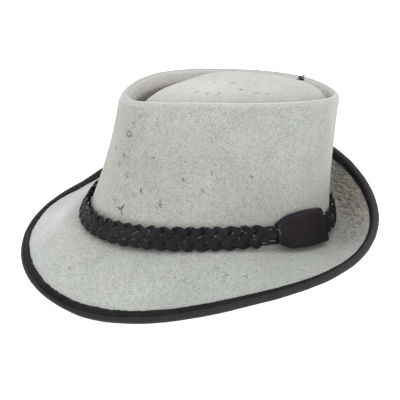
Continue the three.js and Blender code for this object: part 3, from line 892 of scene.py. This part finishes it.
def makeCrown():
    a = evenAngles(crownLook["around"])
    outer, starts = crownOuter(a)
    normals = outwardNormals(outer)
    uneven = layered(outer, crownLook["unevenness"])
    uneven[:4] *= np.linspace(0, 1, 4)[:, None]
    shaped = outer + normals * uneven[..., None]
    step = crownLook["undersideStep"]
    inner = shaped[::step] - normals[::step] * hatShape["suedeThickness"]
    poles = np.array([layer[-1].mean(0) + [0, 0, 0.05] for layer in (shaped, inner)])
    grid = atRest(np.concatenate([shaped[::-1], inner]))
    mesh = gridMesh("crown", grid, poles=atRest(poles))
    for name, field in crownFields(a, outer, starts).items():
        under = np.full(inner.shape[:2], crownLook["undersideGrime"] if name == "dirtAndShade" else 0.0)
        setField(mesh, name, np.concatenate([field[::-1], under]))
    addPiece("crownShell", mesh, crownSuede, "crown")


makeCrown()
print("trilby: crown made")


# Brim: collar inside the crown, fillet and one sweep to the edge
brimLook = {
    "around": 560,
    "upperRows": 92,
    "lowerRows": 30,
    "unevenness": ((0.1, 7, 4.0), (0.05, 3, 6.0)),
    "wrinkle": 0.4,
    "wrinkleSize": 5.0,
    "wrinkleStretch": 0.86,
    # where the brim is wrinkled or uneven, as shares of the way from crown to edge
    "wrinkled": (0.05, 0.35, 0.86, 0.93),
    "free": (0.02, 0.12, 0.84, 0.9),
    # share of painted shade in the wrinkles' valleys
    "creaseShadeShare": 0.36,
}


def brimAngles(count):
    # closer together behind the crown, where the leather is wrinkled
    even = np.linspace(0, 2 * math.pi, 2001)
    weight = 1 + 1.6 * smoothStep(-0.1, 0.7, -np.cos(even))
    total = np.concatenate([[0], np.cumsum((weight[1:] + weight[:-1]) / 2)])
    return np.interp(np.arange(count) / count * total[-1], total, even)


def wrinkleRelief(points):
    # broken folds that run outward and down, from about -1 in the valleys to 0.6 on the ridges
    run, size = np.array(wrinkleLook["run"]), brimLook["wrinkleSize"]
    flat = points - (points @ run)[..., None] * run * brimLook["wrinkleStretch"]
    flat = flat + np.stack([relief(points, 9, seed) for seed in (11.0, 13.0, 17.0)], -1) * 1.8
    large, small = relief(flat, size, 2.0), relief(flat, size * 0.55, 5.0)
    return 0.6 - 1.1 * hill(large, 0, 0.2) - 0.5 * hill(small, 0, 0.2)


def makeBrim():
    a = brimAngles(brimLook["around"])
    half = hatShape["suedeThickness"] / 2
    collar = [*np.linspace(-2, -1, 7)[:-1], *np.linspace(-1, 0, 14)[:-1]]
    upper = [*collar, *np.linspace(0, 1, brimLook["upperRows"])]
    underCollar = [*np.linspace(0, -1, 10)[1:], *np.linspace(-1, -2, 5)[1:]]
    lower = [*np.linspace(1, 0, brimLook["lowerRows"]), *underCollar]
    steps = np.array(upper)[:, None] + np.zeros_like(a)
    layers = brimLayers(a, upper)
    middle = layers[0]

    # wrinkles where the back is rolled up, and a slight unevenness between crown and binding
    rising = plateau(steps, *brimLook["wrinkled"])
    behind = smoothStep(0.72, 0.97, -np.cos(a + 0.06))[None] * rising
    folds = wrinkleRelief(middle)
    uneven = layered(middle, brimLook["unevenness"]) * plateau(steps, *brimLook["free"])
    top = brimSurface(layers, half + uneven + brimLook["wrinkle"] * folds * behind)
    bottom = brimSurface(brimLayers(a, lower), -half)
    mesh = gridMesh("brim", np.concatenate([top, bottom]), closeRows=True)

    # paler in front on the far side, dirty and wrinkled behind, with painted shade in the wrinkles' valleys
    farFront = hill(turnedAngle(a), -0.45, 0.62)[None] * smoothStep(0.02, 0.4, steps)
    dirtAndShadeMix = smoothStep(0.86, 0.995, -np.cos(a + 0.1))[None] * rising
    setField(mesh, "pale", np.clip(farFront * (0.85 + 0.5 * relief(middle, 30, 1.0)), 0, 1))
    setField(mesh, "dirtAndShade", np.clip(dirtAndShadeMix * (0.85 + 0.4 * relief(middle, 14, 8.0)), 0, 1))
    setField(mesh, "creaseShade", np.clip(-folds, 0, 1) * behind * brimLook["creaseShadeShare"])
    setField(mesh, "wrinkle", behind)
    addPiece("brimSweep", mesh, brimSuede, "brim")


makeBrim()
print("trilby: brim made")


# Binding: a strip folded over the edge, with a slightly ragged inner edge and a bead along the fold
bindingLook = {
    "around": 900,
    "clearance": 0.12,
    "ragged": ((0.48, 9, 1.0), (0.384, 2.6, 2.0)),
    "pucker": ((0.1, 3.4, 3.0), (0.06, 9, 4.0)),
    "widerFarSide": 6.2,
    "narrowFarSide": 3.2,
    "beadWidth": 2.2,
    # share of the strip and share of its full height, from the pared inner edge to the bead
    "strip": ((0.0, 0.45), (0.08, 0.78), (0.2, 0.96), (0.45, 1.0), (0.75, 1.0), (0.88, 0.96)),
    # share of the bead and rise in millimetres, from the crease to the fold
    "bead": ((0.0, -0.42), (0.05, -0.2), (0.16, 0.102), (0.35, 0.289), (0.6, 0.34), (1.0, 0.34)),
    "wornEdge": 0.45,
}


def sweepLength(a):
    points = np.array([sectionPoint(brimSection(a), s) for s in np.linspace(0, 1, 41)])
    return np.linalg.norm(np.diff(points, axis=0), axis=-1).sum(0)


def bindingStart(a, width):
    return 1 - (width - bindingReach) / sweepLength(a)


def stripWidth(a):
    # wider and narrower places on the far side
    wider = bindingLook["widerFarSide"] * hill(turnedAngle(a), -1.2, 0.25)
    narrower = bindingLook["narrowFarSide"] * hill(turnedAngle(a), -0.58, 0.24)
    return hatShape["bindingWidth"] + wider - narrower


def edgeNoise(a, *waves):
    # relief round the hat that meets itself
    return layered(np.stack([np.cos(a) * 150, np.sin(a) * 150, np.zeros_like(a)], -1), waves)


def foldedRows(radius, degrees):
    # rows round the brim's edge: section share, offset and reach beyond the edge
    return [(1.0, radius * math.sin(angle), radius * math.cos(angle)) for angle in np.radians(degrees)]


def makeBinding():
    a = evenAngles(bindingLook["around"])
    inside = hatShape["suedeThickness"] / 2 + bindingLook["clearance"]
    thick = bindingReach - inside
    width = stripWidth(a) + edgeNoise(a, *bindingLook["ragged"])
    pucker = edgeNoise(a, *bindingLook["pucker"])
    start = bindingStart(a, width)
    bead = 1 - bindingLook["beadWidth"] / width
    profile = [(bead * share, thick * full) for share, full in bindingLook["strip"]]
    profile += [(bead + (1 - bead) * share, thick + rise) for share, rise in bindingLook["bead"]]
    upper = []
    for index, (share, rise) in enumerate(profile):
        upper.append((start + (1 - start) * share, inside + rise + pucker * (index > 0), 0.0))
    radius = bindingReach + bindingLook["bead"][-1][1] + pucker * 0.8
    fold = foldedRows(radius, range(75, -76, -15))
    lower = [(share, -offset, beyond) for share, offset, beyond in reversed(upper)]
    under = [(start + (1 - start) * share, -inside, 0.0) for share in (0.0, 0.5, 1.0)]
    over = [(start + (1 - start) * share, inside, 0.0) for share in (1.0, 0.5, 0.0)]
    rows = [*upper, *fold, *lower, *under, *foldedRows(inside * 1.1, (-45, 0, 45)), *over]
    shares, offsets, beyonds = (np.array([value + 0 * a for value in column]) for column in zip(*rows))
    grid = brimSurface(brimLayers(a, shares), offsets, beyonds)
    mesh = gridMesh("binding", grid, closeRows=True)

    # worn along the inner edge; polished, with a painted highlight, on the round of the bead, most on the
    # far side
    worn, polishHighlight = np.zeros((2, *grid.shape[:2]))
    worn[:2] = bindingLook["wornEdge"]
    bright = 0.18 + 0.18 * smoothStep(-0.2, 0.5, -np.cos(a - 0.4))
    roundRows = slice(len(bindingLook["strip"]) + 2, len(upper) + len(fold) + 4)
    polishHighlight[roundRows] = np.maximum(bright, hill(turnedAngle(a), -0.7, 0.42))
    setField(mesh, "worn", worn)
    setField(mesh, "polishHighlight", polishHighlight)
    addPiece("bindingStrip", mesh, bindingLeather, "brim_binding")


makeBinding()
print("trilby: binding made")


def tubeRing(middle, across, over, sides):
    # points round a line, from the half width across it and the half height over it
    w = np.arange(sides) * 2 * math.pi / sides
    sideways = across[:, None] * np.cos(w)[None, :, None]
    return middle[:, None] + sideways + over[:, None] * np.sin(w)[None, :, None]


def joinTubes(name, tubes, worn=None):
    points, faces, base = [], [], 0
    for grid in tubes:
        rows, sides = grid.shape[:2]
        points.append(grid.reshape(-1, 3))
        i, j = np.arange(rows - 1)[:, None] * sides, np.arange(sides)[None]
        n = (j + 1) % sides
        quads = np.stack([i + j, i + n, i + sides + n, i + sides + j], -1).reshape(-1, 4) + base
        faces += quads.tolist()
        faces.append([base + k for k in reversed(range(sides))])
        faces.append([base + (rows - 1) * sides + k for k in range(sides)])
        base += rows * sides
    mesh = meshFrom(name, np.concatenate(points), faces)
    if worn:
        setField(mesh, "worn", np.concatenate([field.ravel() for field in worn]))
    return mesh


# Stitches: short threads along the binding's inner edge, above and below
stitchLook = {
    "pitch": 3.2,
    "length": 1.5,
    "inset": 1.4,
    "rise": (-0.3, 0.12, 0.22, 0.12, -0.3),
    "radius": (0.1, 0.24, 0.28, 0.24, 0.1),
    "wide": 1.15,
    "high": 0.8,
    "sides": 6,
    "floorGap": 0.04,
}


def makeStitches():
    look, points = stitchLook, len(stitchLook["rise"])
    a = evenAngles(3600)
    line = brimSurface(brimLayers(a, [bindingStart(a, stripWidth(a) - look["inset"])]), bindingReach)[0]
    gaps = np.linalg.norm(np.roll(line, -1, 0) - line, axis=1)
    run = np.concatenate([[0], np.cumsum(gaps)])
    count = round(run[-1] / look["pitch"])
    offsets = np.linspace(-0.5, 0.5, points) * look["length"]
    reach = offsets[None] + ((np.arange(count) + 0.5) * run[-1] / count)[:, None]
    here = np.interp(reach.ravel(), run, np.append(a, 2 * math.pi))
    layers = brimLayers(here, [bindingStart(here, stripWidth(here) - look["inset"])])
    thick = np.tile(look["radius"], count)[:, None]
    tubes = []
    for side in (1, -1):
        middle = brimSurface(layers, side * (bindingReach + np.tile(look["rise"], count)))[0]
        normal = (layers[1][0] * side) @ turn.T
        ahead = unit(np.gradient(middle.reshape(count, points, 3), axis=1)).reshape(-1, 3)
        across = unit(np.cross(ahead, normal))
        grid = tubeRing(middle, across * thick * look["wide"], normal * thick * look["high"], look["sides"])
        grid[..., 2] = np.maximum(grid[..., 2], look["floorGap"])
        tubes += list(grid.reshape(count, points, look["sides"], 3))
    addPiece("bindingStitches", joinTubes("stitches", tubes), stitchThread)


makeStitches()
print("trilby: stitches made")


# Hat band: a flat plait of four laces that runs into the keeper at both ends
plaitLook = {
    "laces": 4,
    "pitch": 10.41,            # between two lobes on one edge
    "laceWidth": 7.1,
    "laceThickness": 2.2,
    "weave": 1.2,
    "step": 0.9,
    "sides": 16,
    "keeperStart": 107.8,      # degrees
    "hidden": 12,              # inside the keeper at each end
    "strapFrom": 17,           # the laces lie straight from here to the keeper
    "strapReach": 4.7,
    "strapWidth": 4.6,
}
keeperLook = {
    # lower and upper edge at some places along the keeper, from its mouth
    "along": [0, 6, 13, 21, 29, 37, 46, 55],
    "low": [3.4, 0.6, -2.0, -2.6, -2.8, -3.2, -3.4, -4.2],
    "high": [17.4, 20.6, 23, 24.4, 25.2, 25.4, 25.2, 24.6],
    "slant": 5,
    "thickness": 1.3,
    "back": 0.5,
    "front": 6.9,
    "rows": 70,
    "sides": 64,
    "uneven": ((0.14, 11, 2.0), (0.05, 4, 5.0)),
    "wornMouth": 0.35,
}


def bandPoint(a, height, out):
    # a place on the crown's wall, splayed towards the foot of the band
    t = wallShare(a, along["bandLow"](a) + height)
    splay = hatShape["bandSplay"] * np.maximum(0, 1 - height / along["bandWidth"](a))
    return atRest(wallPoint(a, t) + placeNormal(wallPoint, a, t) * (out + splay)[..., None])


girthAngles = np.linspace(0, 2 * math.pi, 721)
girthLine = point(ovalPoint(baseOval, girthAngles), along["root"](girthAngles))
girthRun = np.concatenate([[0], np.cumsum(np.linalg.norm(np.diff(girthLine, axis=0), axis=1))])
girth = girthRun[-1]
keeperFrom = np.interp(math.radians(plaitLook["keeperStart"]), girthAngles, girthRun)
keeperLength = keeperLook["along"][-1]


def angleAt(run):
    return np.interp(np.mod(run, girth), girthRun, girthAngles) + 2 * math.pi * np.floor(run / girth)


def flattened(w, powerX, powerY):
    # a circle's points moved out towards the corners of a rectangle
    c, s = np.cos(w), np.sin(w)
    return np.sign(c) * np.abs(c) ** powerX, np.sign(s) * np.abs(s) ** powerY


def laceTube(run, height, out, width, thickness):
    # a flattened tube along a line on the band, with its flat side to the crown
    a = angleAt(run)
    middle = bandPoint(a, height, out)
    face = unit(bandPoint(a, height, out + 1.0) - middle)
    ahead = unit(np.gradient(middle, axis=0))
    across = unit(np.cross(face, ahead))
    upward = unit(np.cross(ahead, across))
    w = evenAngles(plaitLook["sides"])
    flatX, flatY = flattened(w, 0.75, 0.85)
    grid = middle[:, None] + across[:, None] * (width[:, None] / 2 * flatX)[..., None]
    grid = grid + upward[:, None] * (thickness[:, None] / 2 * flatY)[..., None]
    return grid, np.repeat((np.abs(np.cos(w)) ** 10)[None], len(run), 0)


def makePlait():
    look, rng = plaitLook, np.random.default_rng(5)
    first, last = keeperFrom + keeperLength, keeperFrom + girth
    run = np.arange(first - look["hidden"], last + look["hidden"], look["step"])
    period = look["pitch"] * look["laces"]
    middle = along["bandWidth"](angleAt(run)) / 2

    # straight straps in front of the keeper, a slightly tighter plait behind it
    strap = 1 - smoothStep(5, look["strapFrom"], last - run)
    rear = 1 - smoothStep(-2, 6, run - first)
    tight = 1 - 0.1 * rear
    reach = (middle - look["laceWidth"] * 0.46) * tight

    # a strap's lane comes from its lace's place where the plait ends
    laces = np.arange(look["laces"]) / look["laces"]
    held = np.sin(2 * math.pi * ((last - look["strapFrom"] * 0.62) / period + laces))
    lanes = np.argsort(np.argsort(held)) / (len(laces) - 1) * 2 - 1
    tubes, worn = [], []
    for k in range(look["laces"]):
        phase = 2 * math.pi * (run / period + laces[k]) + edgeNoise(run / 12, (0.1, 1.0, k + 3.0))
        woven = reach * np.arcsin(0.955 * np.sin(phase)) / math.asin(0.955)
        straight = 0.4 + look["strapReach"] * lanes[k]
        height = middle + woven + (straight - woven) * strap + edgeNoise(run / 30, (0.28, 4.0, k * 2.0))
        lift = np.cos(3 * phase)
        lift = look["weave"] * 1.05 * lift / np.sqrt(lift**2 + 0.12) * (1 - 0.3 * rear)
        tilt = 0.35 if k % 2 else -0.35
        out = 2.5 + 1.1 * np.maximum(rear, strap) + lift + (tilt - lift) * strap
        width = look["laceWidth"] * (1 + edgeNoise(run / 25, (0.05, 3.0, k + 11.0))) * tight
        width = width + (look["strapWidth"] - width) * strap
        thickness = look["laceThickness"] * (1 + edgeNoise(run / 20, (0.07, 3.0, k + 17.0)))
        thickness = thickness * (1 - 0.2 * np.maximum(rear, strap * 0.6))
        grid, edges = laceTube(run, height, out, width, thickness)
        tubes.append(grid)
        worn.append(edges * rng.uniform(0.75, 1.0) * (1 - 0.9 * rear)[:, None])
    mesh = joinTubes("plait", tubes, worn)
    addPiece("plaitedBand", mesh, laceLeather, "hat_band")


makePlait()
print("trilby: plait made")


def smoothTable(xs, ys, x):
    # Catmull-Rom curve through a table
    xs, ys = np.array(xs, float), np.array(ys, float)
    slopes = np.gradient(ys, xs)
    k = np.clip(np.searchsorted(xs, x) - 1, 0, len(xs) - 2)
    span = xs[k + 1] - xs[k]
    t = (x - xs[k]) / span
    h00, h10 = 2 * t**3 - 3 * t**2 + 1, t**3 - 2 * t**2 + t
    h01, h11 = -2 * t**3 + 3 * t**2, t**3 - t**2
    return h00 * ys[k] + h10 * span * slopes[k] + h01 * ys[k + 1] + h11 * span * slopes[k + 1]


# Keeper: a flattened sleeve of smooth leather
def keeperLayer(rows, inset):
    look = keeperLook
    low, high = (smoothTable(look["along"], look[edge], rows)[:, None] for edge in ("low", "high"))
    flatX, flatY = flattened(evenAngles(look["sides"]), 0.34, 0.52)
    height = (high + low) / 2 + ((high - low) / 2 - inset) * flatX
    out = (look["front"] + look["back"]) / 2 + ((look["front"] - look["back"]) / 2 - inset) * flatY
    slant = look["slant"] * np.maximum(0, height / high) * rows[:, None] / keeperLength
    return bandPoint(angleAt(keeperFrom + rows[:, None] - slant), height, out + np.zeros_like(height))


def makeKeeper():
    rows = np.linspace(0, keeperLength, keeperLook["rows"])
    outer = keeperLayer(rows, 0)
    inner = keeperLayer(rows[::2], keeperLook["thickness"])
    outer = outer + outwardNormals(outer) * layered(outer, keeperLook["uneven"])[..., None]
    mesh = gridMesh("keeper", np.concatenate([outer, inner[::-1]]), closeRows=True)
    worn = np.zeros(outer.shape[:2])
    worn[[0, -1]] = keeperLook["wornMouth"]
    setField(mesh, "worn", worn)
    addPiece("keeperSleeve", mesh, keeperLeather, "band_keeper")


makeKeeper()
print("trilby: keeper made")


# Thread: a dark stitch left standing on the ridge and pale ends at the keeper's mouth
def threadTube(line, radius, sides=8):
    line = np.array(line, float)
    reach = np.concatenate([[0], np.cumsum(np.linalg.norm(np.diff(line, axis=0), axis=1))])
    t = np.linspace(0, reach[-1], max(8, int(reach[-1] / 0.35)))
    middle = np.stack([smoothTable(reach, line[:, i], t) for i in range(3)], -1)
    size = np.interp(t, reach, radius)[:, None]
    ahead = unit(np.gradient(middle, axis=0))
    side = unit(np.cross(ahead, [0.31, 0.24, 0.92]))
    return tubeRing(middle, side * size, np.cross(ahead, side) * size, sides)


tackLook = {
    "line": [
        (-28.3, 99.8, 116.7), (-26.9, 102.2, 116.8), (-25.3, 104.4, 116.9), (-26.8, 103.2, 117.7),
        (-28.9, 101.6, 118.4), (-27.8, 103.4, 118.9), (-26.4, 105.2, 118.6), (-26.9, 105.6, 119.1),
        (-28.4, 105.2, 119.3), (-28.9, 106.2, 119.2), (-28.2, 107.6, 118.9),
    ],
    "radius": [0.45, 0.8, 0.8, 0.5, 0.42, 0.38, 0.36, 0.34, 0.32, 0.3, 0.22],
}
endLook = {
    "lines": [
        [(79.6, 42.8, 41.9), (80.1, 43.9, 41.6), (80.4, 44.6, 41.0)],
        [(76.1, 46.9, 41.2), (76.9, 47.8, 41.0), (77.7, 48.5, 40.4)],
        [(79.2, 47.9, 40.2), (80.4, 49.9, 40.5), (81.6, 51.0, 39.4), (82.7, 50.7, 37.2)],
        [(83.6, 42.0, 33.9), (84.1, 44.3, 33.5), (84.2, 46.4, 33.2)],
        [(84.9, 35.5, 33.6), (85.1, 37.6, 33.1), (84.9, 39.4, 32.8)],
    ],
    "radius": 0.2,
}
paleThread = leatherMaterial("paleThread", leatherLooks["thread"])


def makeThreads():
    tack = threadTube(tackLook["line"], tackLook["radius"])
    addPiece("threadTack", joinTubes("tack", [tack]), laceLeather)
    radius, ends = endLook["radius"], []
    for line in endLook["lines"]:
        ends.append(threadTube(line, [0.7 * radius] + [radius] * (len(line) - 1)))
    addPiece("keeperThreadEnds", joinTubes("threadEnds", ends), paleThread)


makeThreads()
print("trilby: threads made")


# Floor, light and camera
studio = {
    "floorTone": (0.82, 0.82, 0.82),
    "floorGlow": 0.75,
    "floorReach": 6.0,         # metres
    "worldTone": (1.0, 1.0, 1.0),
    "worldStrength": 0.62,
    # place, height of the aim and size in metres, and power in watts
    "lights": {
        "keyLight": ((0.9, -1.3, 1.5), 0.05, 2.0, 12),
        "topLight": ((0.1, 0.1, 1.9), 0.05, 2.4, 17),
        "fillLight": ((1.6, 0.9, 0.9), 0.05, 1.4, 13),
        "backLight": ((-1.2, 0.3, 1.5), 0.08, 1.2, 5),
    },
    "cameraPlace": (537.073, -98.824, 348.387),     # millimetres
    "azimuth": 78.997,
    "elevation": 30.292,
    "roll": -2.606,
    "focalPixels": 739.288,
}


def makeFloor():
    mesh = bpy.data.meshes.new("floor")
    reach = studio["floorReach"]
    corners = [(-reach, -reach, 0), (reach, -reach, 0), (reach, reach, 0), (-reach, reach, 0)]
    mesh.from_pydata(corners, [], [(0, 1, 2, 3)])
    floor = bpy.data.objects.new("floor", mesh)
    bpy.context.scene.collection.objects.link(floor)
    material, _, shader, _ = newMaterial("paleFloor")
    shader.inputs["Base Color"].default_value = (*studio["floorTone"], 1)
    shader.inputs["Roughness"].default_value = 0.9
    shader.inputs["Specular IOR Level"].default_value = 0.1
    shader.inputs["Emission Color"].default_value = (1, 1, 1, 1)
    shader.inputs["Emission Strength"].default_value = studio["floorGlow"]
    mesh.materials.append(material)


def addLight(name, place, aim, size, power):
    lamp = bpy.data.lights.new(name, "AREA")
    lamp.shape, lamp.size, lamp.size_y, lamp.energy = "RECTANGLE", size, size, power
    holder = bpy.data.objects.new(name, lamp)
    bpy.context.scene.collection.objects.link(holder)
    holder.location = place
    holder.rotation_euler = (Vector((0, 0, aim)) - Vector(place)).to_track_quat("-Z", "Y").to_euler()


def makeStudio():
    makeFloor()
    world = bpy.data.worlds.new("studioWorld")
    bpy.context.scene.world = world
    world.use_nodes = True
    sky = world.node_tree.nodes["Background"]
    sky.inputs["Color"].default_value = (*studio["worldTone"], 1)
    sky.inputs["Strength"].default_value = studio["worldStrength"]
    for name, settings in studio["lights"].items():
        addLight(name, *settings)
    bpy.context.scene.view_settings.view_transform = "Standard"


def makeCamera():
    az, el, roll = (math.radians(studio[key]) for key in ("azimuth", "elevation", "roll"))
    back = Vector((math.sin(az) * math.cos(el), -math.cos(az) * math.cos(el), math.sin(el)))
    right = Vector((math.cos(az), math.sin(az), 0))
    rise = back.cross(right)
    side = right * math.cos(roll) + rise * math.sin(roll)
    top = rise * math.cos(roll) - right * math.sin(roll)
    lens = bpy.data.cameras.new("camera")
    lens.sensor_width = 36
    lens.lens = studio["focalPixels"] / 400 * 36
    camera = bpy.data.objects.new("camera", lens)
    bpy.context.scene.collection.objects.link(camera)
    camera.matrix_world = Matrix((
        (side.x, top.x, back.x, studio["cameraPlace"][0] / 1000),
        (side.y, top.y, back.y, studio["cameraPlace"][1] / 1000),
        (side.z, top.z, back.z, studio["cameraPlace"][2] / 1000),
        (0, 0, 0, 1),
    ))
    bpy.context.scene.camera = camera


makeStudio()
makeCamera()
print("trilby: studio ready")
